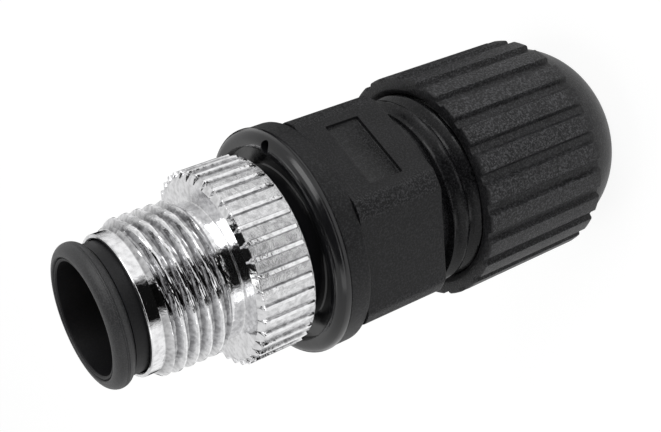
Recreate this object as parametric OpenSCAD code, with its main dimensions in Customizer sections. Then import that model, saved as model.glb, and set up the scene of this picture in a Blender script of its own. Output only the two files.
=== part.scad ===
// Straight male cable plug with an M12 coupling screw, a hexagonal housing and a
// compression gland. The axis is Z: the plug stands on the rear of the gland nut,
// and its pins face up. The housing's front flat, with the label recess, faces -Y.

/* [Coupling screw] */
// Outside diameter of the coupling thread
thread_d = 12; // [11:0.1:13]
// Depth of the coupling thread
thread_depth = 0.65; // [0.6:0.01:0.7]
// Thickness of the screw under its thread
screw_wall = 0.28; // [0.2:0.01:0.4]
// Length of the coupling thread
thread_len = 5.45; // [4:0.05:8]
// Length of the plain lead-in in front of the thread
lead_len = 1; // [0.6:0.1:2]
// Length of the relief behind the thread
relief_len = 1.07; // [0.8:0.01:2]
// Depth of the two mould flats on the thread
flat_depth = 0.3; // [0.1:0.01:0.35]
// Direction of the mould flats
flat_angle = -56.5; // [-180:0.5:180]
// Thickness of the grip ring over its hollow rear
grip_wall = 0.82; // [0.6:0.01:1.1]
// Length of the grip ring
grip_len = 4.73; // [4.2:0.01:7]
// Bevel on the front edge of the grip ring, along the axis
grip_bevel = 0.38; // [0.1:0.02:0.6]
// Number of ribs round the grip ring
rib_count = 39; // [24:1:48]
// Width of a grip rib
rib_w = 0.34; // [0.2:0.02:0.6]
// Height of a grip rib
rib_h = 0.2; // [0.1:0.02:0.4]
// Distance from each end of the grip ring to the end of a rib
rib_inset = 0.2; // [0.1:0.05:0.6]
// Thickness of the inner ledge that draws the plug home
ledge_t = 2.05; // [1.2:0.05:2.1]

/* [Contact carrier] */
// Step from the shroud down to the seat of the front seal
seat_step = 0.37; // [0.2:0.01:0.4]
// Thickness of the shroud's rim, inside the front seal
rim_t = 0.3; // [0.2:0.01:0.4]
// Depth of the cavity round the pins
cavity_depth = 8.5; // [8.3:0.1:9]
// Length of the shroud in front of the coupling screw
shroud_out = 2.5; // [2.2:0.02:4]
// Width of the shoulder behind the shroud
shoulder_w = 0.67; // [0.5:0.01:0.9]
// Length of the terminal end behind the head
terminal_len = 4; // [3.6:0.1:5]
// Height of the snap ridge that holds the carrier in the head
snap_h = 0.3; // [0.1:0.05:0.5]
// Width of the coding key in the cavity
key_w = 1.4; // [0.8:0.1:2]
// Height of the coding key above the cavity wall
key_h = 0.6; // [0.3:0.05:0.9]
// Distance from the shroud's rim to the coding key
key_recess = 2.6; // [1.5:0.1:5]
// Direction of the coding key, which stands midway between two pins
key_angle = -120; // [-180:1:180]

/* [Contacts] */
// Number of pins
pin_count = 4; // [3:1:5]
// Diameter of a pin
pin_d = 1; // [0.8:0.05:1.1]
// Diameter of a pin's shank inside the carrier
shank_d = 1.5; // [1.4:0.05:1.6]
// Diameter of the circle that the pins stand on
pin_circle_d = 4.95; // [4.6:0.05:5.2]
// Distance from the shroud's rim to the pin tips
pin_recess = 2.35; // [2.2:0.05:4]
// Diameter of a pin's wire barrel
barrel_d = 2; // [1.7:0.05:2.1]
// Length of a pin's wire barrel
barrel_len = 5; // [4.5:0.1:6]
// Diameter of the wire hole in a barrel
wire_d = 1.3; // [0.8:0.05:1.4]
// Diameter of a terminal screw
terminal_screw_d = 1.4; // [1:0.05:1.5]
// Width of a terminal screw's slot
slot_w = 0.3; // [0.2:0.05:0.4]

/* [Front seal] */
// Height of the seal bead above its seat
bead_h = 0.87; // [0.6:0.01:1]
// Length of the seal bead
bead_len = 1.64; // [1.3:0.02:2]

/* [Head] */
// Diameter of the body across its flange and its rounded corners
body_d = 18.1; // [17:0.1:20]
// Gap between the grip ring and the head's flange
head_gap = 0.9; // [0.5:0.05:1.5]
// Thickness of the head's flange
flange_t = 1.05; // [1.05:0.01:1.6]
// Radius of the flange's front edge
flange_round = 0.8; // [0.4:0.05:0.9]
// Width of the flat ring between that edge and the hollow in the flange's face
flange_land = 0.47; // [0.2:0.01:0.6]
// Depth of the hollow in the flange's face
face_hollow_depth = 0.75; // [0.4:0.05:0.8]
// Thickness of the hub that the coupling screw turns round
hub_wall = 1.98; // [1.6:0.02:2.1]
// Length of the hub inside the grip ring
hub_len = 2.2; // [1.6:0.05:3]
// Length of the head's spigot inside the housing
head_spigot_len = 3.65; // [3:0.05:5]
// Diameter of the blind hole in the flange's face
blind_hole_d = 0.94; // [0.5:0.02:1]
// Depth of the blind hole in the flange's face
blind_hole_depth = 0.7; // [0.3:0.05:0.8]
// Direction of the blind hole
blind_hole_angle = -66.5; // [-180:0.5:180]
// Section diameter of the seal ring between the head and the housing
ring_section = 0.8; // [0.6:0.05:0.9]

/* [Housing] */
// Depth of the hexagon's flats below the body's round outside
flat_cut = 0.95; // [0.5:0.05:1]
// Length of the hexagonal part
hex_len = 7.6; // [6.5:0.1:14]
// Radius of the hexagon's rear edge
hex_rear_round = 0.8; // [0.3:0.1:1]
// Step from the body's round outside down to the collar
collar_step = 0.08; // [0.02:0.01:0.2]
// Length of the collar
collar_len = 1.85; // [1.4:0.05:4]
// Radius of the collar's rear edge
collar_round = 0.25; // [0.1:0.05:0.5]
// Thickness of the collar round the seal ring
collar_wall = 0.83; // [0.6:0.01:1]
// Width of the ledge behind the head's spigot
ledge_w = 1.7; // [1.4:0.05:2]
// Thickness of the neck
neck_wall = 1.55; // [1.3:0.05:1.8]
// Depth of the relief beside the hexagon
neck_relief_depth = 0.7; // [0.5:0.05:0.8]
// Length of the relief beside the hexagon
neck_relief_len = 1.2; // [0.6:0.1:1.6]
// Length of the label recess along the axis
label_len = 3; // [2:0.1:4]
// Width of the label recess
label_w = 6; // [4:0.1:7]
// Depth of the label recess
label_depth = 0.35; // [0.2:0.05:0.6]
// Distance from the hexagon's rear end to the middle of the label recess
label_pos = 3.9; // [3:0.1:5]

/* [Gland] */
// Length of the compression nut
nut_len = 17; // [15.5:0.1:18]
// Thickness of the nut round its thread
nut_wall = 1.45; // [1.3:0.05:1.7]
// How far the nut's lands stand out beyond the body
land_step = 0.3; // [0:0.05:0.6]
// Depth of the flutes between the lands
flute_depth = 0.4; // [0.2:0.05:0.6]
// Number of lands
land_count = 24; // [16:1:30]
// Share of each pitch that a land takes up
land_share = 0.57; // [0.4:0.01:0.7]
// Height of the bevel at the rear end of the lands
land_bevel_h = 0.82; // [0.7:0.02:1]
// Length of the bevel at the rear end of the lands
land_bevel_len = 0.4; // [0.3:0.05:1]
// Radius of the rounded rear end
dome_round = 6.1; // [5.9:0.1:7]
// Width of the flat ring round the cable hole
rear_ring_w = 1.35; // [1:0.05:1.6]
// Radius of the cable hole's mouth
mouth_round = 0.5; // [0.2:0.05:0.6]
// Thickness of the nut's floor under the thrust washer
floor_t = 3.4; // [3:0.05:3.8]
// Thickness of the nut round the thrust washer
pocket_wall = 2.3; // [2.2:0.05:2.5]
// Gap between the nut and the hexagon, as assembled without a cable
nut_gap = 3.7; // [3:0.05:5]
// Travel left for tightening the nut
tighten_travel = 2.7; // [2:0.1:2.9]
// Thickness of the thrust washer
washer_t = 0.7; // [0.5:0.05:0.8]
// Radial room that the nut, washer and cage leave round the bush's bore
cable_room = 0.1; // [0.05:0.05:0.2]
// Thickness of the clamping cage's flange
cage_flange_t = 1; // [0.6:0.05:1.2]
// Number of slits across the clamping cage
slit_count = 4; // [2:1:5]
// Width of a slit in the clamping cage
slit_w = 0.7; // [0.4:0.05:0.9]
// Depth of a slit in the clamping cage
slit_depth = 2.6; // [2:0.1:3]
// Length of the seal bush
bush_len = 7.5; // [6.5:0.1:8.5]
// Thickness of the seal bush
bush_wall = 2.25; // [2:0.05:2.6]

/* [Clearances] */
// Radial clearance of the gland thread's crests
gland_clear = 0.05; // [0.03:0.01:0.1]
// Radial clearance round the parts that the coupling screw turns on
turn_clear = 0.1; // [0.05:0.01:0.1]
// Radial clearance between parts that are fixed together
fixed_clear = 0.02; // [0.01:0.01:0.03]
// Clearance between a moving part and a wall that it passes
wall_clear = 0.3; // [0.25:0.01:0.35]
// Axial clearance between stacked gland parts
stack_clear = 0.1; // [0.05:0.01:0.15]

/* [Hidden] */
$fn = 96;
edge = 0.1;         // small bevel on moulded and turned edges
overlap = 0.5;      // how far a cutting shape runs past the face that it cuts
arc_steps = 8;      // straight steps in a rounded profile

// Radii of the front parts, from the coupling thread inwards and then outwards
thread_r = thread_d / 2;
relief_r = thread_r - thread_depth;
lead_r = relief_r + edge / 2;
shroud_r = relief_r - screw_wall - turn_clear;
seat_r = shroud_r - seat_step;
cavity_r = seat_r - rim_t;
spigot_r = shroud_r - shoulder_w;
bead_r = seat_r + fixed_clear + bead_h;
hub_r = spigot_r + fixed_clear + hub_wall;
grip_r = hub_r + wall_clear + grip_wall;

// Radii of the body, from its round outside inwards
body_r = body_d / 2;
face_hollow_r = body_r - flange_round - flange_land;
collar_r = body_r - collar_step;
seal_groove_r = collar_r - collar_wall;
head_spigot_r = seal_groove_r - ring_section - 2 * fixed_clear;
wiring_r = head_spigot_r - ledge_w;
hex_r = body_r - flat_cut;

// Radii of the gland, from the nut's lands inwards
land_r = body_r + land_step;
nut_bore_r = land_r - nut_wall;
neck_r = nut_bore_r - gland_clear;
neck_bore_r = neck_r - neck_wall;
pocket_r = land_r - pocket_wall;
washer_r = pocket_r - turn_clear;
cage_r = neck_bore_r - wall_clear / 2;
bush_bore_r = cage_r - bush_wall;
cable_hole_r = bush_bore_r + cable_room;
cage_bore_r = cable_hole_r + 2 * cable_room;
rear_ring_r = cable_hole_r + cable_room + rear_ring_w;
dome_r = land_r - land_bevel_h;
dome_angle = acos((rear_ring_r - dome_r + dome_round) / dome_round);

// Heights, from the rear of the nut up to the rim of the shroud
dome_z1 = dome_round * sin(dome_angle);
hex_z0 = nut_len + nut_gap;
collar_z0 = hex_z0 + hex_len;
flange_z0 = collar_z0 + collar_len;
flange_z1 = flange_z0 + flange_t;
grip_z0 = flange_z1 + head_gap;
grip_z1 = grip_z0 + grip_len;
thread_z0 = grip_z1 + relief_len;
thread_z1 = thread_z0 + thread_len;
screw_z1 = thread_z1 + lead_len;
shroud_z1 = screw_z1 + shroud_out;
seal_z1 = shroud_z1 + edge;
seal_z0 = seal_z1 - bead_len;
hub_z1 = grip_z0 + hub_len;
ledge_z0 = hub_z1 + wall_clear;
ledge_z1 = ledge_z0 + ledge_t;
shoulder_z = ledge_z1 + wall_clear;
cavity_z0 = shroud_z1 - cavity_depth;
head_z0 = flange_z0 - head_spigot_len;
carrier_z0 = head_z0 - terminal_len;
barrel_z1 = carrier_z0 + barrel_len;
pin_tip_z = shroud_z1 - pin_recess;
terminal_screw_z = carrier_z0 + terminal_len / 2;
washer_z0 = floor_t + stack_clear;
cage_z0 = washer_z0 + washer_t + stack_clear;
cage_flange_z1 = cage_z0 + cage_flange_t;
step_z = cage_flange_z1 + wall_clear;
neck_z0 = step_z + tighten_travel + 2 * wall_clear;
cage_z1 = neck_z0 - stack_clear;
bush_z1 = neck_z0 + bush_len;

// Points of a rounded corner about c with radius r, from angle a0 to angle a1
function arc(c, r, a0, a1) =
    [for (i = [0:arc_steps]) let (a = a0 + (a1 - a0) * i / arc_steps) c + r * [cos(a), sin(a)]];

// A ring with a rectangular section
module ring(inner, outer, z0, z1) {
    translate([0, 0, z0])
        rotate_extrude()
            translate([inner, 0])
                square([outer - inner, z1 - z0]);
}

// Copies of what follows, one for each pin
module at_pins() {
    for (i = [0:pin_count - 1])
        rotate([0, 0, key_angle + 360 / pin_count * (i + 0.5)])
            translate([pin_circle_d / 2, 0, 0])
                children();
}

// The shape that a terminal screw or its threaded hole fills
module terminal_screw_shape(extra) {
    translate([0, 0, terminal_screw_z])
        rotate([0, 90, 0])
            cylinder(d = terminal_screw_d + 2 * extra, h = spigot_r - pin_circle_d / 2);
}

module carrier_outline() {
    snap_z = head_z0 - stack_clear / 2;
    polygon([
        [0, carrier_z0], [spigot_r - edge, carrier_z0], [spigot_r, carrier_z0 + edge],
        [spigot_r, snap_z - 2 * snap_h], [spigot_r + snap_h, snap_z - snap_h],
        [spigot_r + snap_h, snap_z], [spigot_r, snap_z],
        [spigot_r, shoulder_z], [shroud_r, shoulder_z], [shroud_r, seal_z0],
        [seat_r, seal_z0], [seat_r, shroud_z1 - edge], [seat_r - edge, shroud_z1],
        [cavity_r + edge, shroud_z1], [cavity_r, shroud_z1 - edge],
        [cavity_r, cavity_z0], [0, cavity_z0]
    ]);
}

module coding_key() {
    rotate([0, 0, key_angle])
        translate([cavity_r - key_h, -key_w / 2, cavity_z0 - edge])
            cube([key_h + rim_t / 2, key_w, cavity_depth - key_recess + edge]);
}

module contact_carrier() {
    color("#1d1e20")
        difference() {
            union() {
                rotate_extrude() carrier_outline();
                coding_key();
            }
            at_pins() {
                translate([0, 0, carrier_z0])
                    cylinder(d = shank_d + 2 * fixed_clear, h = cavity_z0 - carrier_z0 + overlap);
                translate([0, 0, carrier_z0 - overlap])
                    cylinder(d = barrel_d + 2 * fixed_clear, h = barrel_len + overlap + fixed_clear);
                terminal_screw_shape(fixed_clear);
            }
        }
}

module contact_pins() {
    color("#c9a557")
        at_pins()
            difference() {
                rotate_extrude()
                    polygon(concat(
                        [[0, carrier_z0 + edge], [barrel_d / 2, carrier_z0 + edge],
                         [barrel_d / 2, barrel_z1], [shank_d / 2, barrel_z1],
                         [shank_d / 2, cavity_z0], [pin_d / 2, cavity_z0]],
                        arc([0, pin_tip_z - pin_d / 2], pin_d / 2, 0, 90)));
                translate([0, 0, carrier_z0 - overlap])
                    cylinder(d = wire_d, h = terminal_len + overlap);
                terminal_screw_shape(fixed_clear);
            }
}

module terminal_screws() {
    color("#b9bbbd")
        at_pins()
            difference() {
                intersection() {
                    terminal_screw_shape(0);
                    translate([wire_d / 2, -terminal_screw_d, carrier_z0])
                        cube([spigot_r, 2 * terminal_screw_d, terminal_len]);
                }
                translate([spigot_r - pin_circle_d / 2 - slot_w, -terminal_screw_d, terminal_screw_z])
                    translate([0, 0, -slot_w / 2])
                        cube([spigot_r, 2 * terminal_screw_d, slot_w]);
            }
}

module shroud_seal() {
    inner_r = seat_r + fixed_clear;
    color("#2b2c2e")
        translate([0, 0, seal_z0])
            rotate_extrude()
                intersection() {
                    translate([inner_r, 0]) square([bead_h, bead_len]);
                    translate([bead_r - bead_len / 2, bead_len / 2]) circle(d = bead_len, $fn = 48);
                }
}

module screw_outline() {
    bore = shroud_r + turn_clear;
    ledge = spigot_r + turn_clear;
    hollow = hub_r + wall_clear;
    polygon([
        [bore, ledge_z1], [bore, screw_z1 - edge], [bore + edge, screw_z1],
        [lead_r - edge, screw_z1], [lead_r, screw_z1 - edge], [lead_r, thread_z1],
        [thread_r, thread_z1 - (thread_r - lead_r)], [thread_r, thread_z0 + (thread_r - relief_r)],
        [relief_r, thread_z0], [relief_r, grip_z1], [grip_r - grip_bevel - edge, grip_z1],
        [grip_r, grip_z1 - grip_bevel], [grip_r, grip_z0 + edge], [grip_r - edge, grip_z0],
        [hollow, grip_z0], [hollow, ledge_z0], [ledge, ledge_z0], [ledge, ledge_z1]
    ]);
}

// A raised rib along the grip, with rounded ends
module grip_rib() {
    straight = grip_len - grip_bevel - 2 * rib_inset - rib_w;
    translate([grip_r - rib_h, 0, grip_z0 + rib_inset + rib_w / 2])
        rotate([0, -90, 180])
            linear_extrude(2 * rib_h)
                union() {
                    translate([0, -rib_w / 2]) square([straight, rib_w]);
                    for (end = [0, straight]) translate([end, 0]) circle(d = rib_w, $fn = 24);
                }
}

// What the two mould flats take off the thread
module mould_flats() {
    for (side = [0, 180])
        rotate([0, 0, flat_angle + side])
            translate([thread_r - flat_depth, -thread_r, thread_z0 - edge])
                cube([thread_r, 2 * thread_r, thread_len + edge]);
}

module coupling_screw() {
    color("#c8c9cb")
        difference() {
            union() {
                rotate_extrude() screw_outline();
                for (i = [0:rib_count - 1])
                    rotate([0, 0, 360 / rib_count * (i + 0.5)]) grip_rib();
            }
            mould_flats();
        }
}

module head_outline() {
    bore = spigot_r + fixed_clear;
    hollow_z = flange_z1 - face_hollow_depth;
    polygon(concat(
        [[bore, head_z0], [head_spigot_r - edge, head_z0], [head_spigot_r, head_z0 + edge],
         [head_spigot_r, flange_z0], [body_r, flange_z0]],
        arc([body_r - flange_round, flange_z1 - flange_round], flange_round, 0, 90),
        [[face_hollow_r, flange_z1], [face_hollow_r, hollow_z], [hub_r, hollow_z],
         [hub_r, hub_z1 - edge], [hub_r - edge, hub_z1], [bore, hub_z1]]));
}

module head() {
    color("#17181a")
        difference() {
            rotate_extrude() head_outline();
            rotate([0, 0, blind_hole_angle])
                translate([(body_r + face_hollow_r) / 2, 0, flange_z1 - blind_hole_depth])
                    cylinder(d = blind_hole_d, h = blind_hole_depth + overlap);
        }
}

module head_seal() {
    color("#303133")
        translate([0, 0, flange_z0 - ring_section / 2 - fixed_clear])
            rotate_extrude()
                translate([head_spigot_r + ring_section / 2 + fixed_clear, 0])
                    circle(d = ring_section, $fn = 32);
}

// Round envelope of the hexagon: trims its corners and rounds its rear edge
module hex_envelope() {
    rotate_extrude()
        polygon(concat(
            [[0, hex_z0]],
            arc([body_r - hex_rear_round, hex_z0 + hex_rear_round], hex_rear_round, -90, 0),
            [[body_r, collar_z0 + collar_round], [0, collar_z0 + collar_round]]));
}

module housing_outside() {
    relief_r = neck_r - neck_relief_depth;
    intersection() {
        translate([0, 0, hex_z0])
            cylinder(r = hex_r / cos(30), h = hex_len + collar_round, $fn = 6);
        hex_envelope();
    }
    rotate_extrude()
        polygon(concat(
            [[0, neck_z0], [neck_r - 3 * edge, neck_z0], [neck_r, neck_z0 + 3 * edge],
             [neck_r, hex_z0 - neck_relief_len], [relief_r, hex_z0 - neck_relief_len],
             [relief_r, collar_z0]],
            arc([collar_r - collar_round, collar_z0 + collar_round], collar_round, -90, 0),
            [[collar_r, flange_z0 - edge], [collar_r - edge, flange_z0], [0, flange_z0]]));
}

module housing_inside() {
    front_z = head_z0 - stack_clear;
    groove_z = flange_z0 - ring_section - 2 * fixed_clear;
    rotate_extrude()
        polygon([
            [0, neck_z0 - overlap], [neck_bore_r, neck_z0 - overlap], [neck_bore_r, bush_z1 + stack_clear],
            [wiring_r, bush_z1 + stack_clear], [wiring_r, front_z],
            [head_spigot_r + fixed_clear, front_z], [head_spigot_r + fixed_clear, groove_z],
            [seal_groove_r, groove_z], [seal_groove_r, flange_z0 + overlap], [0, flange_z0 + overlap]
        ]);
}

module label_recess() {
    translate([-label_w / 2, -hex_r - overlap, hex_z0 + label_pos - label_len / 2])
        cube([label_w, label_depth + overlap, label_len]);
}

module housing() {
    color("#26272a")
        difference() {
            housing_outside();
            housing_inside();
            label_recess();
        }
}

module seal_bush() {
    bevel = 5 * edge;
    color("#3a3b3d")
        rotate_extrude()
            polygon([
                [bush_bore_r, neck_z0], [cage_r - bevel, neck_z0], [cage_r, neck_z0 + bevel],
                [cage_r, bush_z1], [bush_bore_r, bush_z1]
            ]);
}

module clamping_cage() {
    bevel = 5 * edge;
    color("#4b4c4f")
        difference() {
            rotate_extrude()
                polygon([
                    [cage_bore_r, cage_z0], [washer_r, cage_z0], [washer_r, cage_flange_z1],
                    [cage_r, cage_flange_z1], [cage_r, cage_z1 - bevel], [cage_r - bevel, cage_z1],
                    [cage_bore_r, cage_z1]
                ]);
            for (i = [0:slit_count - 1])
                rotate([0, 0, 180 / slit_count * i])
                    translate([-neck_r, -slit_w / 2, cage_z1 - slit_depth])
                        cube([2 * neck_r, slit_w, slit_depth + overlap]);
        }
}

module thrust_washer() {
    color("#d9d9d4")
        ring(cage_bore_r, washer_r, washer_z0, washer_z0 + washer_t);
}

// Section of the nut with its lands and flutes
module fluted_section() {
    pitch_w = 2 * land_r * sin(180 / land_count);
    circle(r = land_r - flute_depth);
    intersection() {
        circle(r = land_r);
        for (i = [0:land_count - 1])
            rotate([0, 0, 360 / land_count * (i - 0.1)])
                translate([0, -pitch_w * land_share / 2])
                    square([2 * land_r, pitch_w * land_share]);
    }
}

module nut_outline() {
    polygon(concat(
        [[0, 0]],
        arc([dome_r - dome_round, dome_z1], dome_round, -dome_angle, 0),
        [[land_r, dome_z1 + land_bevel_len], [land_r, nut_len - 2 * edge],
         [land_r - 2 * edge, nut_len], [0, nut_len]]));
}

module nut_inside() {
    lead = 4 * edge;
    rotate_extrude()
        polygon(concat(
            [[0, -overlap], [cable_hole_r + mouth_round, -overlap]],
            arc([cable_hole_r + mouth_round, mouth_round], mouth_round, -90, -180),
            [[cable_hole_r, floor_t], [pocket_r, floor_t], [pocket_r, step_z],
             [nut_bore_r, step_z], [nut_bore_r, nut_len - lead], [nut_bore_r + lead, nut_len],
             [nut_bore_r + lead, nut_len + overlap], [0, nut_len + overlap]]));
}

module compression_nut() {
    color("#222325")
        difference() {
            intersection() {
                linear_extrude(nut_len) fluted_section();
                rotate_extrude() nut_outline();
            }
            nut_inside();
        }
}

contact_carrier();
contact_pins();
terminal_screws();
shroud_seal();
coupling_screw();
head();
head_seal();
housing();
seal_bush();
clamping_cage();
thrust_washer();
compression_nut();
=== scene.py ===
# %% [markdown]
# # Dressing a round cable plug
#
# The plug is a stack of turned and moulded parts on one axis: a plated coupling screw in
# front, a black body with six flats in the middle, and a fluted gland nut at the back. Their
# sizes are fixed, so this lesson only gives them the surfaces that catch the light: threads,
# rounded edges, cast and moulded skins. The plug stands on its nut and the pins face up.

import bpy
import numpy as np
from mathutils import Matrix, Vector


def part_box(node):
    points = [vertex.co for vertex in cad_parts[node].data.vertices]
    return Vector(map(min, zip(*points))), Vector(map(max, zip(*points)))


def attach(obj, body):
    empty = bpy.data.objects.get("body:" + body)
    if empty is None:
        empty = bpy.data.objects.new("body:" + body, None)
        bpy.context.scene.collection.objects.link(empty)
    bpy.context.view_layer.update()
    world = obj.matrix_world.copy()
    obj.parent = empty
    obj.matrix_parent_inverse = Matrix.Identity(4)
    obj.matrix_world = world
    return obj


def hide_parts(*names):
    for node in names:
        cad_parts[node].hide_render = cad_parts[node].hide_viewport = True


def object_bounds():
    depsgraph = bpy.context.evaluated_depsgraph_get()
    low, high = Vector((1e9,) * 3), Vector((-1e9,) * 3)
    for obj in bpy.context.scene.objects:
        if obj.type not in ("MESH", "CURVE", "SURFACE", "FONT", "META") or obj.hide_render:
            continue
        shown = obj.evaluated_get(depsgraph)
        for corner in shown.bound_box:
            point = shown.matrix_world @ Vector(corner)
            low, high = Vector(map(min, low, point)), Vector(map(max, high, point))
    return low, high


MM = 0.001
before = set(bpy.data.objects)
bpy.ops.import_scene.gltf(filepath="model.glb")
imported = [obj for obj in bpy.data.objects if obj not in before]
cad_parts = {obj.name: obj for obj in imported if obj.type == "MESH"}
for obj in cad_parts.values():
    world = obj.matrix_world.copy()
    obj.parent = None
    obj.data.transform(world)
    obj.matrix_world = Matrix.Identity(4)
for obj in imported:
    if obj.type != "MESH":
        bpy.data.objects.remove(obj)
fixed_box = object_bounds()
scene = bpy.context.scene
scene.view_settings.view_transform = "Standard"


def heights(node):
    """The rear and the front height of a fixed part, in millimetres."""
    low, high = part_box(node)
    return round(low.z / MM, 3), round(high.z / MM, 3)


screw_rear, screw_front = heights("coupling_screw")
head_rear, hub_front = heights("head")
neck_rear, flange_rear = heights("housing")
nut_front = heights("compression_nut")[1]
seal_rear, seal_front = heights("shroud_seal")
print("fixed parts:", sorted(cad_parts))
print("overall height in mm:", round(fixed_box[1].z / MM, 2))

# %% [markdown]
# ## The camera
#
# A short telephoto lens close to the plug gives gentle perspective. The camera is placed from
# three directions, forward, up and the right that follows from them, because the plug lies
# across the picture at an angle that no single rotation describes well.

# %% Place the camera
STAND_POINT = Vector((-40.19, -69.61, 70.63)) * MM
camera_data = bpy.data.cameras.new("portrait")
camera_data.lens = 63.83
camera_data.sensor_width = 36
camera_data.clip_start = 5 * MM
camera = bpy.data.objects.new("portrait", camera_data)
scene.collection.objects.link(camera)
scene.camera = camera
forward = Vector((0.43912, 0.75259, -0.49070)).normalized()
up = Vector((0.71256, -0.62440, -0.31999)).normalized()
right = forward.cross(up)
turn = Matrix((right, up, -forward)).transposed()
camera.matrix_world = Matrix.Translation(STAND_POINT) @ turn.to_4x4()
print("camera looks along", tuple(round(c, 3) for c in forward))

# %% [markdown]
# ## Shader maths that reads like maths
#
# A material is a graph, but long graphs are hard to read. A small class wraps one socket and
# overloads the operators, so `1 - mask * 0.4` adds its own Math nodes. One method makes every
# other node: it takes the type, the settings, and the values or links of the sockets.


# %% Sockets with operators
class Wire:
    """One output socket of a graph, which can stand in a sum with numbers and other wires."""

    def __init__(self, graph, socket):
        self.graph = graph
        self.socket = socket

    def math(self, operation, *values):
        return self.graph.node("Math", {"operation": operation}, dict(enumerate(values)))

    def __add__(self, other):
        return self.math("ADD", self, other)

    def __radd__(self, other):
        return self.math("ADD", other, self)

    def __sub__(self, other):
        return self.math("SUBTRACT", self, other)

    def __rsub__(self, other):
        return self.math("SUBTRACT", other, self)

    def __mul__(self, other):
        return self.math("MULTIPLY", self, other)

    def __rmul__(self, other):
        return self.math("MULTIPLY", other, self)

    def __pow__(self, other):
        return self.math("POWER", self, other)

    def ramp(self, low, high, out_low=0.0, out_high=1.0):
        """Eases from out_low to out_high while this wire goes from low to high."""
        ends = {"From Min": low, "From Max": high, "To Min": out_low, "To Max": out_high}
        return self.graph.node("MapRange", {"interpolation_type": "SMOOTHSTEP"}, {"Value": self, **ends})


class Graph:
    """A node tree of a material or of the world, with one method that makes any node."""

    def __init__(self, tree):
        self.tree = tree

    def plug(self, socket, value):
        if isinstance(value, Wire):
            self.tree.links.new(value.socket, socket)
        else:
            socket.default_value = value

    def node(self, kind, settings=None, inputs=None, output=0):
        node = self.tree.nodes.new("ShaderNode" + kind)
        for name, value in (settings or {}).items():
            setattr(node, name, value)
        for name, value in (inputs or {}).items():
            self.plug(node.inputs[name], value)
        return Wire(self, node.outputs[output])

    def seen(self):
        """1 for what the camera, a mirror or glass looks at, and 0 for what only lights things."""
        rays = self.node("LightPath").socket.node.outputs
        camera_ray, mirror_ray, glass_ray = (
            Wire(self, rays[f"Is {kind} Ray"]) for kind in ("Camera", "Glossy", "Transmission"))
        return camera_ray.math("MAXIMUM", camera_ray.math("MAXIMUM", camera_ray, mirror_ray), glass_ray)


class Finish(Graph):
    """A material under construction."""

    def __init__(self, name, tone=None, **sockets):
        self.material = bpy.data.materials.new(name)
        self.material.use_nodes = True
        super().__init__(self.material.node_tree)
        self.shader = self.tree.nodes["Principled BSDF"]
        for socket, value in sockets.items():
            self.shader.inputs[socket.replace("_", " ")].default_value = value
        if tone:
            self.shader.inputs["Base Color"].default_value = (*tone, 1)
            self.material.diffuse_color = (*tone, 1)
        metres = self.node("TexCoord", output="Object")
        self.place = self.node("VectorMath", {"operation": "SCALE"}, {"Vector": metres, "Scale": 1 / MM})

    def noise(self, size, detail=2.0, roughness=0.5):
        """Clouds whose lumps are about this size in millimetres."""
        lumps = {"Scale": 1 / size, "Detail": detail, "Roughness": roughness}
        return self.node("TexNoise", None, {"Vector": self.place, **lumps})

    def painted(self, name):
        """A mask that was painted on the mesh when the part was made."""
        return self.node("Attribute", {"attribute_name": name}, output="Fac")

    def blend(self, factor, first, second):
        """A colour between two tones. Mix keeps it a colour, where Math would turn it grey."""
        return self.node("Mix", {"data_type": "RGBA"},
                         {"Factor": factor, 6: (*first, 1), 7: (*second, 1)}, output=2)

    def set(self, socket, value):
        self.plug(self.shader.inputs[socket], value)
        return self

    def emboss(self, height, depth):
        """Raises the surface by height times depth in millimetres, as the light sees it."""
        return self.set("Normal", self.node("Bump", None, {"Height": height, "Distance": depth * MM}))


# %% [markdown]
# ## Bright nickel on a zinc casting
#
# The coupling screw is die cast and plated. The plating is almost a mirror, so what makes it
# look real is not colour but shape: long shallow waves bend the reflections, and the skin of
# the die shows as fine grain where no tool has cut it. That skin is painted on the mesh as a
# mask named cast, which also makes the metal a little rougher. A second mask is highest in the
# bottom of the thread and at the feet of the ribs, and darkens the colour there: painted shade
# in the valleys.

# %% Nickel
nickel = Finish("bright nickel", Metallic=1.0)
skin = nickel.painted("cast")
valley_shade = nickel.painted("valley_shade")
grain = nickel.noise(0.13, 3.0, 0.6)
waves = nickel.noise(0.4, 2.0)
stains = nickel.noise(0.45, 3.0).ramp(0.35, 0.75)
# Stains and cast skin are the metal's own; the valley mask darkens the colour as painted shade in the
# thread and beside the ribs.
tarnish_and_shade = stains * 0.35 + skin * 0.2 + valley_shade * 0.6
nickel.set("Base Color", nickel.blend(tarnish_and_shade, (0.86, 0.86, 0.87), (0.16, 0.16, 0.165)))
nickel.set("Roughness", 0.06 + stains * 0.04 + skin * 0.14)
nickel.emboss(waves * 0.45 + grain * (0.06 + skin * 1.1), 0.03)
print("made", nickel.material.name)

# %% [markdown]
# ## Three black mouldings
#
# All the plastic is black polyamide, and only its skin differs. The head is polished, so it
# needs a low roughness and faint waves. The body and the nut have an eroded mould texture: tiny
# grains that catch the light as grey specks. A mask on the corners of the body and the lands of
# the nut makes the grain rougher and its specks brighter: wear, and a painted highlight on the
# rounded corners and the land tops. The carrier's specks are dim, painted shade for the hollow
# inside the plug. A mask named polish marks the gland thread, which the nut has rubbed smooth.


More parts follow.
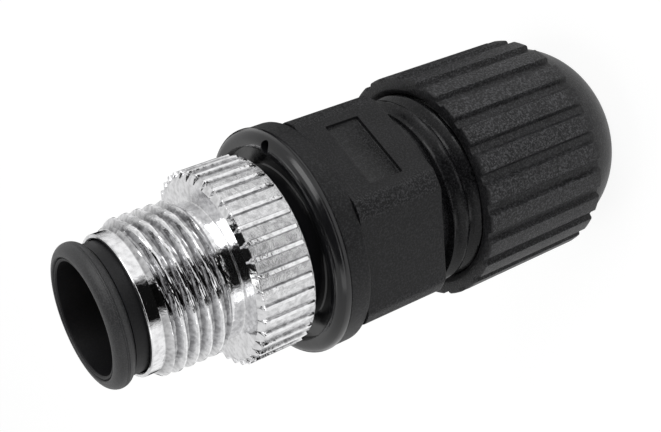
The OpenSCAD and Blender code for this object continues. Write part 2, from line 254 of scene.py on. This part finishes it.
# %% Black plastics
def moulding(name, tone, speck_tone, roughness, grain_size, depth, gloss):
    """A black moulding with an eroded skin."""
    plastic = Finish(name, tone, Specular_IOR_Level=gloss)
    wear_and_highlight = plastic.painted("wear_and_highlight")
    polish = plastic.painted("polish")
    specks = plastic.noise(grain_size, 2.0, 0.7).ramp(0.42, 0.72)
    clouds = plastic.noise(2.2, 3.0).ramp(0.3, 0.7)
    # The mask brightens the specks: wear, and a painted highlight on rounded corners and land tops.
    shade = specks * (0.35 + wear_and_highlight * 0.65) + clouds * 0.12
    plastic.set("Base Color", plastic.blend(shade, tone, speck_tone))
    plastic.set("Roughness", roughness + clouds * 0.08 + wear_and_highlight * 0.05 - polish * 0.26)
    return plastic.emboss(specks * (0.4 + wear_and_highlight * 0.6 - polish * 0.35), depth)


body_black = moulding(
    "body black", tone=(0.004, 0.004, 0.0045), speck_tone=(0.05, 0.05, 0.053),
    roughness=0.44, grain_size=0.15, depth=0.022, gloss=0.24)
nut_black = moulding(
    "nut black", tone=(0.003, 0.003, 0.0035), speck_tone=(0.085, 0.085, 0.09),
    roughness=0.4, grain_size=0.16, depth=0.03, gloss=0.28)
# The carrier's specks are kept dim: painted shade for the hollow inside the plug, where it and the cage
# sit.
shaded_carrier_black = moulding(
    "carrier black with painted shade", tone=(0.005, 0.005, 0.006), speck_tone=(0.016, 0.016, 0.017),
    roughness=0.45, grain_size=0.12, depth=0.01, gloss=0.25)

head_black = Finish("polished black", (0.008, 0.008, 0.009))
swirl = head_black.noise(0.7, 2.0)
head_black.set("Roughness", 0.12 + swirl.ramp(0.3, 0.8) * 0.12)
head_black.emboss(swirl, 0.006)
print("made", [f.material.name for f in (body_black, nut_black, shaded_carrier_black, head_black)])

# %% [markdown]
# ## Rubber, gold, steel and the washer
#
# Rubber is softer in its highlights than plastic, and dust lightens it evenly. The pins are
# gold over brass, the little clamping screws are plain turned steel with rings round their
# axis, and the washer is uncoloured nylon, which is a little milky.

# %% Small parts
rubber = Finish("seal rubber", (0.03, 0.03, 0.031), Specular_IOR_Level=0.45)
dust = rubber.noise(0.09, 3.0, 0.7).ramp(0.4, 0.75)
rubber.set("Base Color", rubber.blend(dust, (0.02, 0.02, 0.021), (0.06, 0.06, 0.062)))
rubber.set("Roughness", 0.42 + dust * 0.2)
rubber.emboss(dust, 0.008)

gold = Finish("pin gold", Metallic=1.0)
handling = gold.noise(0.4, 3.0).ramp(0.3, 0.8)
gold.set("Base Color", gold.blend(handling, (0.86, 0.62, 0.24), (0.74, 0.5, 0.18)))
gold.set("Roughness", 0.14 + handling * 0.12)

steel = Finish("screw steel", Metallic=1.0)
tooling = steel.noise(0.12, 4.0)
steel.set("Base Color", steel.blend(tooling, (0.6, 0.6, 0.61), (0.46, 0.46, 0.47)))
steel.set("Roughness", 0.22 + tooling * 0.15)

nylon = Finish("natural nylon", Subsurface_Weight=0.15)
haze = nylon.noise(1.5, 3.0)
nylon.set("Base Color", nylon.blend(haze, (0.76, 0.74, 0.69), (0.66, 0.64, 0.58)))
nylon.set("Roughness", 0.42 + haze * 0.1)
print("made", [f.material.name for f in (rubber, gold, steel, nylon)])

# %% [markdown]
# ## Turning a part
#
# Everything here could come from a lathe, so one helper does the lathe's work. It takes the
# outline as points of radius and height, first up the outside and then down the inside, and
# spins them through a list of angles. A Screw modifier would do that too, but here a shape
# function may then push every point in or out by its height and angle, which is how threads,
# ribs, flutes and flats are cut in clean rows of faces.


# %% The lathe
def arc(centre, radius, start, end, steps=8):
    """Points of a rounded corner, from the angle start to the angle end in degrees."""
    angles = np.radians(np.linspace(start, end, steps + 1))
    return [(centre[0] + radius * np.cos(a), centre[1] + radius * np.sin(a)) for a in angles]


def even(radius, start, end, step):
    """Points straight up at one radius, no further apart than step."""
    count = int(np.ceil(abs(end - start) / step))
    return [(radius, z) for z in np.linspace(start, end, count + 1)]


def turned(name, outside, inside, angles, shape=None, masks=None, crease=32):
    """A closed turned part. shape(radius, height, angle, outer) returns the new radii."""
    rows = np.array(outside + inside, float)
    angle = np.asarray(angles, float)[None, :] + np.zeros((len(rows), 1))
    radius = rows[:, :1] + 0 * angle
    height = rows[:, 1:] + 0 * angle
    outer = (np.arange(len(rows)) < len(outside))[:, None] & (angle == angle)
    if shape:
        radius = shape(radius, height, angle, outer)
    turns = np.radians(angle)
    points = np.stack([radius * np.cos(turns), radius * np.sin(turns), height], axis=-1) * MM
    row, column = np.meshgrid(np.arange(len(rows)), np.arange(angle.shape[1]), indexing="ij")
    above, beside = (row + 1) % len(rows), (column + 1) % angle.shape[1]
    corners = [row * angle.shape[1] + column, row * angle.shape[1] + beside,
               above * angle.shape[1] + beside, above * angle.shape[1] + column]
    faces = np.stack(corners, axis=-1).reshape(-1, 4)
    mesh = bpy.data.meshes.new(name)
    mesh.from_pydata(points.reshape(-1, 3).tolist(), [], faces.tolist())
    for mask, paint in (masks or {}).items():
        values = paint(radius, height, angle, outer).astype(np.float32)
        mesh.attributes.new(mask, "FLOAT", "POINT").data.foreach_set("value", values.ravel())
    mesh.shade_smooth()
    mesh.set_sharp_from_angle(angle=np.radians(crease))
    part = bpy.data.objects.new(name, mesh)
    scene.collection.objects.link(part)
    print(f"{name}: {len(mesh.polygons)} faces, radius up to {radius.max():.2f} mm")
    return part


def screw_thread(height, angle, start, pitch, crest, root, flat=0.07, slope=0.33):
    """Radius of a right-hand thread, whose crest passes the height start at angle 0."""
    turns = (height - start) / pitch - angle / 360
    away = np.abs(turns - np.round(turns))
    fall = np.clip((away - flat) / slope, 0, 1)
    return crest - (crest - root) * (0.6 * fall + 0.4 * fall * fall * (3 - 2 * fall))


def around(angle, middle):
    """How far an angle is from the middle one, from -180 to 180 degrees."""
    return (angle - middle + 180) % 360 - 180


def cut(part, cutter):
    """Takes the cutter's shape out of the part, and removes the cutter."""
    tool = part.modifiers.new("cut", "BOOLEAN")
    tool.operation = "DIFFERENCE"
    tool.object = cutter
    tool.solver = "EXACT"
    with bpy.context.temp_override(object=part, active_object=part, selected_objects=[part]):
        bpy.ops.object.modifier_apply(modifier=tool.name)
    bpy.data.objects.remove(cutter)


def dress(part, finish, body, node):
    """Gives a new part its finish, and lets it stand for the fixed one."""
    part.data.materials.append(finish.material)
    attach(part, body)
    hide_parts(node)


# %% [markdown]
# ## The coupling screw
#
# The screw is one casting: a lead-in band, an M12 thread with a pitch of 1 mm, a smooth relief
# and the grip ring with its ribs. The two halves of the die met along the thread, so it has
# two flats there and a raised line of flash. The columns of the mesh are crowded at each rib,
# which keeps the ribs narrow and crisp without a huge number of faces.

# %% Sizes of the screw
RIBS = 39
rib_half, rib_height = 0.17, 0.2
grip_r = 7.42
grip_front = screw_rear + 4.73
bevel_rear = grip_front - 0.38
rib_ends = (screw_rear + 0.2 + rib_half, grip_front - 0.2 - rib_half)
thread_crest, thread_root, thread_pitch = 6.0, 5.36, 1.0
first_crest = 42.455
relief_r, lead_r = 5.35, 5.4
thread_rear, thread_front = grip_front + 1.07, screw_front - 1.0
flat_turn, flat_out = -56.5, 5.7
flash_turn = -62.0
shroud_bore, step_bore, hub_bore = 5.07, 4.4, 6.6
step_front, step_rear = grip_front - 0.18, grip_front - 2.23
across_rib = [0, 0.09, 0.13, 0.17, 0.21, 0.26, 0.42]
across_rib = sorted({-x for x in across_rib} | set(across_rib)) + [np.pi * grip_r / RIBS]
screw_angles = [360 / RIBS * (i + 0.5) + np.degrees(x / grip_r) for i in range(RIBS) for x in across_rib]
print(len(screw_angles), "columns round the screw")


# %% Cut the ribs, the thread and the flats
def grip_shape(radius, height, angle):
    """Ribs with round ends on the grip ring."""
    pitch = 360 / RIBS
    sideways = np.radians((angle / pitch) % 1 - 0.5) * pitch * grip_r
    away = np.hypot(sideways, height - np.clip(height, *rib_ends))
    rise = np.clip((rib_half + 0.035 - away) / 0.07, 0, 1) * rib_height
    return np.where(rise > 0, np.maximum(radius, grip_r + rise), radius)


def thread_shape(radius, height, angle):
    """The thread, which fades out at both ends, with the mould flats and the line of flash."""
    cut_thread = screw_thread(height, angle, first_crest, thread_pitch, thread_crest, thread_root)
    fade_in = lead_r + (thread_crest - lead_r) * np.clip((thread_front - height) / 0.65, 0, 1)
    fade_out = relief_r + (thread_crest - relief_r) * np.clip((height - thread_rear) / 0.6, 0, 1)
    made = np.minimum(np.minimum(cut_thread, fade_in), fade_out)
    for side in (0, 180):
        off = around(angle, flat_turn + side)
        made = np.where(np.abs(off) < 30, np.minimum(made, flat_out / np.cos(np.radians(off))), made)
    ragged = 0.7 + 0.2 * np.sin(height * 9) + 0.1 * np.sin(height * 31)
    flash = np.clip(1 - np.abs(around(angle, flash_turn)) / 1.3, 0, 1) * 0.1 * ragged
    return np.clip(made, relief_r, None) + flash


def screw_shape(radius, height, angle, outer):
    grip = outer & (height < grip_front - 0.05) & (radius > 6.5)
    threaded = outer & (height > thread_rear - 0.01) & (height < thread_front + 0.01)
    shaped = np.where(grip, grip_shape(radius, height, angle), radius)
    return np.where(threaded, thread_shape(radius, height, angle), shaped)


def cast_skin(radius, height, angle, outer):
    """Raw skin between the ribs, and along both mould flats."""
    between_ribs = outer & (radius < grip_r + 0.05) & (radius > grip_r - 0.01)
    seam = np.maximum(np.exp(-((around(angle, flat_turn) / 11) ** 2)),
                      np.exp(-((around(angle, flat_turn + 180) / 11) ** 2)))
    return np.where(between_ribs, 0.8, np.where(outer & (radius < 6.3), seam, 0.0))


def paint_valley_shade(radius, height, angle, outer):
    """Painted shade: highest in the bottom of the thread, and in the strips beside the ribs."""
    threaded = outer & (height > thread_rear + 0.1) & (height < thread_front) & (radius < 6.2)
    pitch = 360 / RIBS
    sideways = np.abs(np.radians((angle / pitch) % 1 - 0.5) * pitch * grip_r)
    foot = np.clip(1 - (sideways - rib_half) / 0.09, 0, 1)
    foot = foot * (radius < grip_r + 0.12) * (height > rib_ends[0])
    beside_rib = outer & (radius > 7.3) & (height < bevel_rear)
    depth = np.clip((thread_crest - 0.1 - radius) / (thread_crest - 0.1 - thread_root), 0, 1)
    return np.where(threaded, depth, np.where(beside_rib, foot, 0.0))


grip_rows = sorted({screw_rear + 0.1, *(rib_ends[0] - np.array([0.2, 0.17, 0.12, 0.06, 0])),
                    *np.linspace(rib_ends[0] + 0.5, rib_ends[1] - 0.3, 6), bevel_rear,
                    *(rib_ends[1] + np.array([0.04, 0.08, 0.12, 0.15, 0.17, 0.2]))})
bevel_r = 6.94
bevel_drop = (grip_r - bevel_r) / (grip_front - bevel_rear)
screw_outside = [(grip_r - 0.1, screw_rear)]
screw_outside += [(grip_r - bevel_drop * max(0, z - bevel_rear), z) for z in grip_rows]
screw_outside += [(bevel_r, grip_front), (relief_r + 0.12, grip_front)]
screw_outside += arc((relief_r + 0.12, grip_front + 0.12), 0.12, 270, 180, 4)[1:]
screw_outside += even(relief_r, grip_front + 0.3, thread_rear - 0.1, 0.3)
screw_outside += even(relief_r, thread_rear, thread_front, 0.0625)
screw_outside += even(lead_r, thread_front + 0.06, screw_front - 0.15, 0.3)
screw_outside += arc((lead_r - 0.1, screw_front - 0.1), 0.1, 0, 90, 4)
screw_inside = [(shroud_bore + 0.1, screw_front), (shroud_bore, screw_front - 0.1),
                (shroud_bore, step_front), (step_bore, step_front), (step_bore, step_rear),
                (hub_bore, step_rear), (hub_bore, screw_rear)]
screw = turned("screw", screw_outside, screw_inside, screw_angles, screw_shape,
               {"cast": cast_skin, "valley_shade": paint_valley_shade})
dress(screw, nickel, "coupling_screw", "coupling_screw")

# %% [markdown]
# ## The head
#
# The polished head carries the contacts. Only its flange shows: a thick lip with a big round
# edge and a hollow in its face, where the grip ring turns. A small blind hole was left by the
# mould. The lip is an arc of many short steps, so that the highlight runs round it without a
# break. The thread on the spigot shows when the plug is opened.

# %% Turn the head
PLAIN = np.arange(0, 360, 2.0)
flange_front = flange_rear + 1.05
body_r, lip_round, hollow_r, hub_r = 9.05, 0.8, 7.78, 6.3
spigot_r, spigot_root, spigot_pitch, bore_r = 7.3, 6.95, 1.0, 4.32
hollow_depth = 0.75


def head_shape(radius, height, angle, outer):
    on_spigot = outer & (radius < spigot_r + 0.1)
    threaded = on_spigot & (height > head_rear + 0.3) & (height < head_rear + 2.6)
    return np.where(threaded, screw_thread(height, angle, 0, spigot_pitch, spigot_r, spigot_root), radius)


head_outside = [(spigot_r - 0.35, head_rear), (spigot_r - 0.05, head_rear + 0.28)]
head_outside += even(spigot_r, head_rear + 0.35, head_rear + 2.55, 0.1)
head_outside += [(spigot_r - 0.02, head_rear + 2.65), (spigot_r, head_rear + 2.7)]
head_outside += [(spigot_r, flange_rear), (body_r - 0.1, flange_rear)]
head_outside += arc((body_r - 0.1, flange_rear + 0.1), 0.1, 270, 360, 4)
head_outside += arc((body_r - lip_round, flange_front - lip_round), lip_round, 0, 90, 16)
head_outside += arc((hollow_r + 0.12, flange_front - 0.12), 0.12, 90, 180, 4)
head_outside += arc((hollow_r - 0.2, flange_front - hollow_depth + 0.2), 0.2, 0, -90, 4)
head_outside += [(hub_r + 0.1, flange_front - hollow_depth)]
head_outside += [(hub_r, flange_front - 0.65), (hub_r, hub_front - 0.1), (hub_r - 0.1, hub_front)]
head_inside = [(bore_r + 0.1, hub_front), (bore_r, hub_front - 0.1), (bore_r, head_rear)]
head = turned("head_shell", head_outside, head_inside, PLAIN, head_shape)

hole_turn, hole_r, hole_out, hole_depth = np.radians(-66.5), 0.47, 8.4, 0.7
bpy.ops.mesh.primitive_cylinder_add(
    vertices=48, radius=hole_r * MM, depth=2 * hole_depth * MM,
    location=Vector((hole_out * np.cos(hole_turn), hole_out * np.sin(hole_turn), flange_front)) * MM)
cut(head, bpy.context.object)
head.data.set_sharp_from_angle(angle=np.radians(40))
dress(head, head_black, "head", "head")

# %% [markdown]
# ## The front seal
#
# The rubber ring is a bead on the rim of the shroud. It is fatter than a plain O-ring, with a
# flat front face and a faint moulding line round its side, which gives the dark band its thin
# highlight. The shroud and the contacts behind it keep their fixed shapes.

# %% Turn the seal
bead_r, bead_inner = 5.49, 4.62
bead_mid = (seal_rear + seal_front) / 2
bead_half = (seal_front - seal_rear) / 2
seal_outside = [(bead_inner, seal_rear)]
seal_outside += arc((bead_r - bead_half, bead_mid), bead_half, -84, -7, 14)
seal_outside += [(bead_r - 0.035, bead_mid - 0.07), (bead_r, bead_mid), (bead_r - 0.035, bead_mid + 0.07)]
seal_outside += arc((bead_r - bead_half, bead_mid), bead_half, 7, 84, 14)
seal_inside = [(bead_inner + 0.06, seal_front), (bead_inner, seal_front - 0.06)]
seal = turned("front_seal", seal_outside, seal_inside, PLAIN, crease=50)
dress(seal, rubber, "head", "shroud_seal")

# %% [markdown]
# ## The body
#
# The body is a hexagon for a spanner, cut from a round bar: its flats stop short of the
# corners, which stay round. That is one line of code, because the radius of a flat at any angle
# is its distance divided by a cosine, and the smaller of that and the round radius wins. The
# collar in front, the relief behind and the gland thread are rows of the same mesh. The label
# recess is cut with a boolean, and its floor stays bare.

# %% Sizes of the body
hex_rear, collar_rear = 20.7, flange_rear - 1.85
flat_r, collar_r, neck_r, neck_root = 8.1, 8.97, 7.85, 7.15
rear_round, collar_round, relief_len, gland_pitch = 0.35, 0.25, 1.2, 1.5
seal_seat, seal_depth, spigot_seat, wiring_r, bush_r, bush_front = 8.14, 0.84, 7.32, 5.6, 6.3, 16.5
BODY_ANGLES = np.arange(-180, 180, 1.0)
print("hexagon from", hex_rear, "to", collar_rear)


# %% Turn the body
def hexagon(angle):
    """Radius of the six flats with their round corners, eased where they meet."""
    off = np.abs(around(angle * 6, 0)) / 6
    flat = flat_r / np.cos(np.radians(30 - off))
    return body_r - np.log1p(np.exp((body_r - flat) / 0.02)) * 0.02


def body_shape(radius, height, angle, outer):
    threaded = outer & (height > neck_rear + 0.35) & (height < hex_rear - relief_len)
    cut_thread = screw_thread(height, angle, gland_pitch / 2, gland_pitch, neck_r, neck_root, 0.06, 0.4)
    in_hexagon = (height > hex_rear - 0.01) & (height < collar_rear - 0.01)
    in_hexagon = outer & in_hexagon & (radius > neck_root + 0.2)
    edge = 0.15
    soft = edge - np.sqrt(edge**2 - np.clip(hex_rear + edge - height, 0, edge) ** 2)
    shaped = np.where(threaded, np.minimum(radius, cut_thread), radius)
    return np.where(in_hexagon, np.minimum(radius, hexagon(angle) - soft), shaped)


def rubbed_thread(radius, height, angle, outer):
    """The gland thread on the neck, polished by the nut."""
    return np.where(outer & (height < hex_rear), 1.0, 0.0)


def wear_and_highlight_corners(radius, height, angle, outer):
    """The round corner bands of the hexagon, which rub first; their brighter specks are also a painted
    highlight.
    """
    corner = outer & (height > hex_rear) & (height < collar_rear) & (hexagon(angle) > body_r - 0.12)
    return np.where(corner, 1.0, 0.15)


body_outside = [(neck_r - 0.35, neck_rear), (neck_r - 0.02, neck_rear + 0.33)]
body_outside += even(neck_r, neck_rear + 0.4, hex_rear - relief_len - 0.05, 0.1)
body_outside += even(neck_root, hex_rear - relief_len, hex_rear - 0.1, 0.4)
body_outside += [(neck_root + 0.1, hex_rear), (flat_r - 0.3, hex_rear)]
body_outside += arc((body_r - rear_round, hex_rear + rear_round), rear_round, -90, 0, 12)
body_outside += even(body_r, hex_rear + rear_round + 0.4, collar_rear - 0.02, 0.8)
body_outside += [(flat_r + 0.02, collar_rear)]
body_outside += arc((collar_r - collar_round, collar_rear + collar_round), collar_round, -90, 0, 6)
body_outside += [(collar_r, flange_rear - 0.1), (collar_r - 0.1, flange_rear)]
seat_rear, groove_rear = head_rear - 0.1, flange_rear - seal_depth
body_inside = [(seal_seat, flange_rear), (seal_seat, groove_rear), (spigot_seat, groove_rear),
               (spigot_seat, seat_rear), (wiring_r, seat_rear), (wiring_r, bush_front),
               (bush_r, bush_front), (bush_r, neck_rear)]
body = turned("body_shell", body_outside, body_inside, BODY_ANGLES, body_shape,
              {"wear_and_highlight": wear_and_highlight_corners, "polish": rubbed_thread}, 28)

label_w, label_len, label_depth, label_mid = 6.0, 3.0, 0.35, hex_rear + 3.9
bpy.ops.mesh.primitive_cube_add(
    size=MM, location=Vector((0, -flat_r, label_mid)) * MM, scale=(label_w, 2 * label_depth, label_len))
label_cutter = bpy.context.object
bpy.ops.object.transform_apply(location=False, rotation=False, scale=True)
soften = label_cutter.modifiers.new("soften", "BEVEL")
soften.width = 0.12 * MM
soften.segments = 3
bpy.ops.object.modifier_apply(modifier="soften")
cut(body, label_cutter)
body.data.set_sharp_from_angle(angle=np.radians(28))
dress(body, body_black, "housing", "housing")

# %% [markdown]
# ## The gland nut
#
# The nut has 24 flat lands with grooves between them, and a smooth dome at its rear. The lands
# are pitched so finely that a few columns at each flank are enough for a crisp edge, and the
# dome is a true arc, whose highlight a faceted cone would break.

# %% Turn the nut
LANDS = 24
land_r, groove_r, land_foot_r, dome_front = 9.35, 8.95, 8.53, 4.5
dome_round, dome_middle, ring_r, hole_mouth = 6.1, (2.43, 5.3), 5.45, 4.0
gland_bore, gland_root, gland_step, washer_r, floor_front = 7.9, 7.4, 5.6, 7.05, 3.4
across_land = [0, 1.5, 3, 3.9, 4.3, 4.6, 4.9, 5.6, 6.5]
across_land = sorted({-x for x in across_land} | set(across_land)) + [7.5]
nut_angles = [360 / LANDS * (i - 0.1) + x for i in range(LANDS) for x in across_land]


def off_land(angle):
    """How far an angle is from the middle of the nearest land, in degrees."""
    pitch = 360 / LANDS
    return np.abs((angle / pitch + 0.1 + 0.5) % 1 - 0.5) * pitch


def nut_shape(radius, height, angle, outer):
    fall = np.clip((off_land(angle) - 4.25) / 1.1, 0, 1)
    fluted = land_r - (land_r - groove_r) * fall * fall * (3 - 2 * fall)
    threaded = ~outer & (height > gland_step + 0.6) & (height < nut_front - 0.6) & (radius > 7.5)
    thread = screw_thread(height, angle, gland_pitch / 2, gland_pitch, gland_bore, gland_root)
    cut_thread = 2 * gland_bore - thread
    return np.where(threaded, cut_thread, np.where(outer, np.minimum(radius, fluted), radius))


land_rear = 5.8


def wear_and_highlight_lands(radius, height, angle, outer):
    """The flat tops of the lands, which show the coarse skin of the mould; their brighter specks are also
    a painted highlight.
    """
    lands = outer & (radius > groove_r - 0.02) & (height > land_rear) & (height < nut_front - 0.1)
    return np.where(lands, np.clip((5.2 - off_land(angle)) / 0.6, 0.45, 1), 0.0)


dome_start = np.degrees(np.arccos((ring_r - dome_middle[0]) / dome_round))
nut_outside = arc(dome_middle, dome_round, -dome_start, 0, 22)
nut_outside = [(r, z) for r, z in nut_outside if z < dome_front]
nut_outside += [(land_foot_r, 4.75), (land_r - 0.1, 5.0), (land_r - 0.02, 5.07), (land_r, 5.2)]
nut_outside += even(land_r, 6.5, nut_front - 0.3, 2.5)
nut_outside += arc((land_r - 0.2, nut_front - 0.2), 0.2, 0, 90, 5)
nut_inside = [(gland_bore + 0.45, nut_front), (gland_bore + 0.4, nut_front - 0.02),
              (gland_bore, nut_front - 0.42)]
nut_inside += even(gland_bore, nut_front - 0.55, gland_step + 0.55, 0.15)
nut_inside += [(gland_bore, gland_step), (washer_r, gland_step), (washer_r, floor_front),
               (hole_mouth, floor_front)]
nut_inside += arc((hole_mouth + 0.5, 0.5), 0.5, 180, 270, 8)
nut = turned("gland_nut", nut_outside, nut_inside, nut_angles, nut_shape, {"wear_and_highlight": wear_and_highlight_lands}, 24)
dress(nut, nut_black, "compression_nut", "compression_nut")

# %% [markdown]
# ## Parts that keep their fixed shape
#
# The contacts, the carrier, the gland's inner parts and the inner seals are simple turned
# shapes that sit in shadow or inside. Their fixed meshes are already true, so they only need a
# finish in their material slots.

# %% Finish the inner parts
kept = {"contact_carrier": shaded_carrier_black, "contact_pins": gold, "terminal_screws": steel,
        "head_seal": rubber, "seal_bush": rubber, "clamping_cage": shaded_carrier_black, "thrust_washer": nylon}
for node, finish in kept.items():
    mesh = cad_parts[node].data
    mesh.materials.clear()
    mesh.materials.append(finish.material)
print("finished", sorted(kept))

# %% [markdown]
# ## A white table and soft light
#
# The table is white to the camera and to mirrors, and only catches the shadow. Light Path tells
# which ray asks: one that only lights things meets plain grey paper and a dimmer room, so the
# white never adds to the light on the plug.

# %% The table and the room
TABLE_GLOW, ROOM_LIGHT = 0.9, 0.28
table = Finish("white table", Roughness=0.9)
glow = table.node("Emission", None, {"Color": (1, 1, 1, 1), "Strength": TABLE_GLOW})
paper = table.node("BsdfDiffuse", None, {"Color": (0.2, 0.2, 0.2, 1)})
bright = table.node("AddShader", None, {0: glow, 1: paper})
plain = table.node("BsdfDiffuse", None, {"Color": (0.8, 0.8, 0.8, 1)})
surface = table.node("MixShader", None, {0: table.seen(), 1: plain, 2: bright})
table.plug(table.tree.nodes["Material Output"].inputs["Surface"], surface)
table.tree.nodes.remove(table.shader)

bpy.ops.mesh.primitive_plane_add(size=3.0, location=(0, 0, fixed_box[0].z - 0.00005))
floor = bpy.context.object
floor.name = "table_top"
floor.data.materials.append(table.material)

world = bpy.data.worlds.new("room")
scene.world = world
world.use_nodes = True
world.node_tree.nodes.clear()
room = Graph(world.node_tree)
level = room.node("MapRange", None, {"Value": room.seen(), "To Min": ROOM_LIGHT})
walls = room.node("Background", None, {"Strength": level})
room_output = world.node_tree.nodes.new("ShaderNodeOutputWorld")
room.plug(room_output.inputs["Surface"], walls)
print("table", floor.name, "and room", world.name)

# %% [markdown]
# ## Soft boxes
#
# Small goods on a white table are lit by big soft lamps, because a large lamp close by gives
# black plastic broad, gentle highlights. The key stands on the camera's side, one lamp hangs
# overhead, and a weak one fills the left.

# %% The soft boxes
def soft_box(name, direction, distance, size, watts):
    """A square lamp at a distance in millimetres, aimed at the middle of the plug."""
    lamp = bpy.data.lights.new(name, "AREA")
    lamp.size = size * MM
    lamp.energy = watts
    holder = bpy.data.objects.new(name, lamp)
    middle = Vector((0, 0, fixed_box[1].z / 2))
    aim = Vector(direction).normalized()
    holder.location = middle + aim * distance * MM
    holder.rotation_euler = aim.to_track_quat("Z", "Y").to_euler()
    scene.collection.objects.link(holder)


soft_box("key", (0.25, -0.9, 0.35), 380, 300, 0.75)
soft_box("overhead", (0.1, 0.15, 1.0), 380, 320, 0.45)
soft_box("fill", (-0.9, -0.25, 0.25), 420, 320, 0.3)
print("lamps:", [light.name for light in bpy.data.lights])

# %% [markdown]
# ## Dark cards
#
# Bright metal needs something dark to mirror: nickel in an all-white room looks like paper. The
# cards lie on the table or hang over the plug. A card near the plug shows in the low parts, and
# one further off shows in the high parts. Only mirrors see them, so they darken a reflection
# and never the light.

# %% The dark cards
card_finish = Finish("dark card", (0.008, 0.008, 0.008), Roughness=1.0, Specular_IOR_Level=0.0)
card_finish.set("Alpha", card_finish.painted("solid"))


def dark_card(name, place, start, end, low, high, fade=0.15):
    """A sheet round the plug that only mirrors can see. It fades out at its two side edges.

    start and end are angles in degrees. place(angle, way) gives a point in millimetres, where way
    runs from low to high: a distance on the table, or a tilt in degrees overhead."""
    across, along = 25, 9
    angles = np.radians(np.linspace(start, end, across))
    points = [place(a, w) for w in np.linspace(low, high, along) for a in angles]
    faces = [(i + across * j, i + 1 + across * j, i + 1 + across * (j + 1), i + across * (j + 1))
             for j in range(along - 1) for i in range(across - 1)]
    mesh = bpy.data.meshes.new(name)
    mesh.from_pydata([Vector(p) * MM for p in points], [], faces)
    share = np.linspace(0, 1, across)
    solid = np.tile(np.clip(np.minimum(share, 1 - share) / fade, 0, 1), along)
    mesh.attributes.new("solid", "FLOAT", "POINT").data.foreach_set("value", solid.astype(np.float32))
    mesh.materials.append(card_finish.material)
    card = bpy.data.objects.new(name, mesh)
    scene.collection.objects.link(card)
    card.visible_camera = False
    card.visible_diffuse = False
    card.visible_shadow = False
    card.visible_transmission = False


CARD_LIFT, DOME_R, DOME_MIDDLE = 0.5, 170, 30


def on_table(angle, way):
    return way * np.cos(angle), way * np.sin(angle), CARD_LIFT


def overhead(angle, way):
    tilt = np.radians(way)
    out = DOME_R * np.cos(tilt)
    return out * np.cos(angle), out * np.sin(angle), DOME_MIDDLE + DOME_R * np.sin(tilt)


dark_card("card_front", on_table, -172, -90, 84, 210)
dark_card("card_neck", on_table, -172, -90, 27, 40)
dark_card("card_collar", on_table, -82, 24, 57, 68)
dark_card("card_dome", on_table, -50, 100, 10.5, 60, 0.25)
dark_card("card_above", overhead, -172, -90, 3, 90)
dark_card("card_zenith", overhead, -180, 180, 66, 90, 0.001)
dark_card("card_top", on_table, 15, 95, 10, 260)
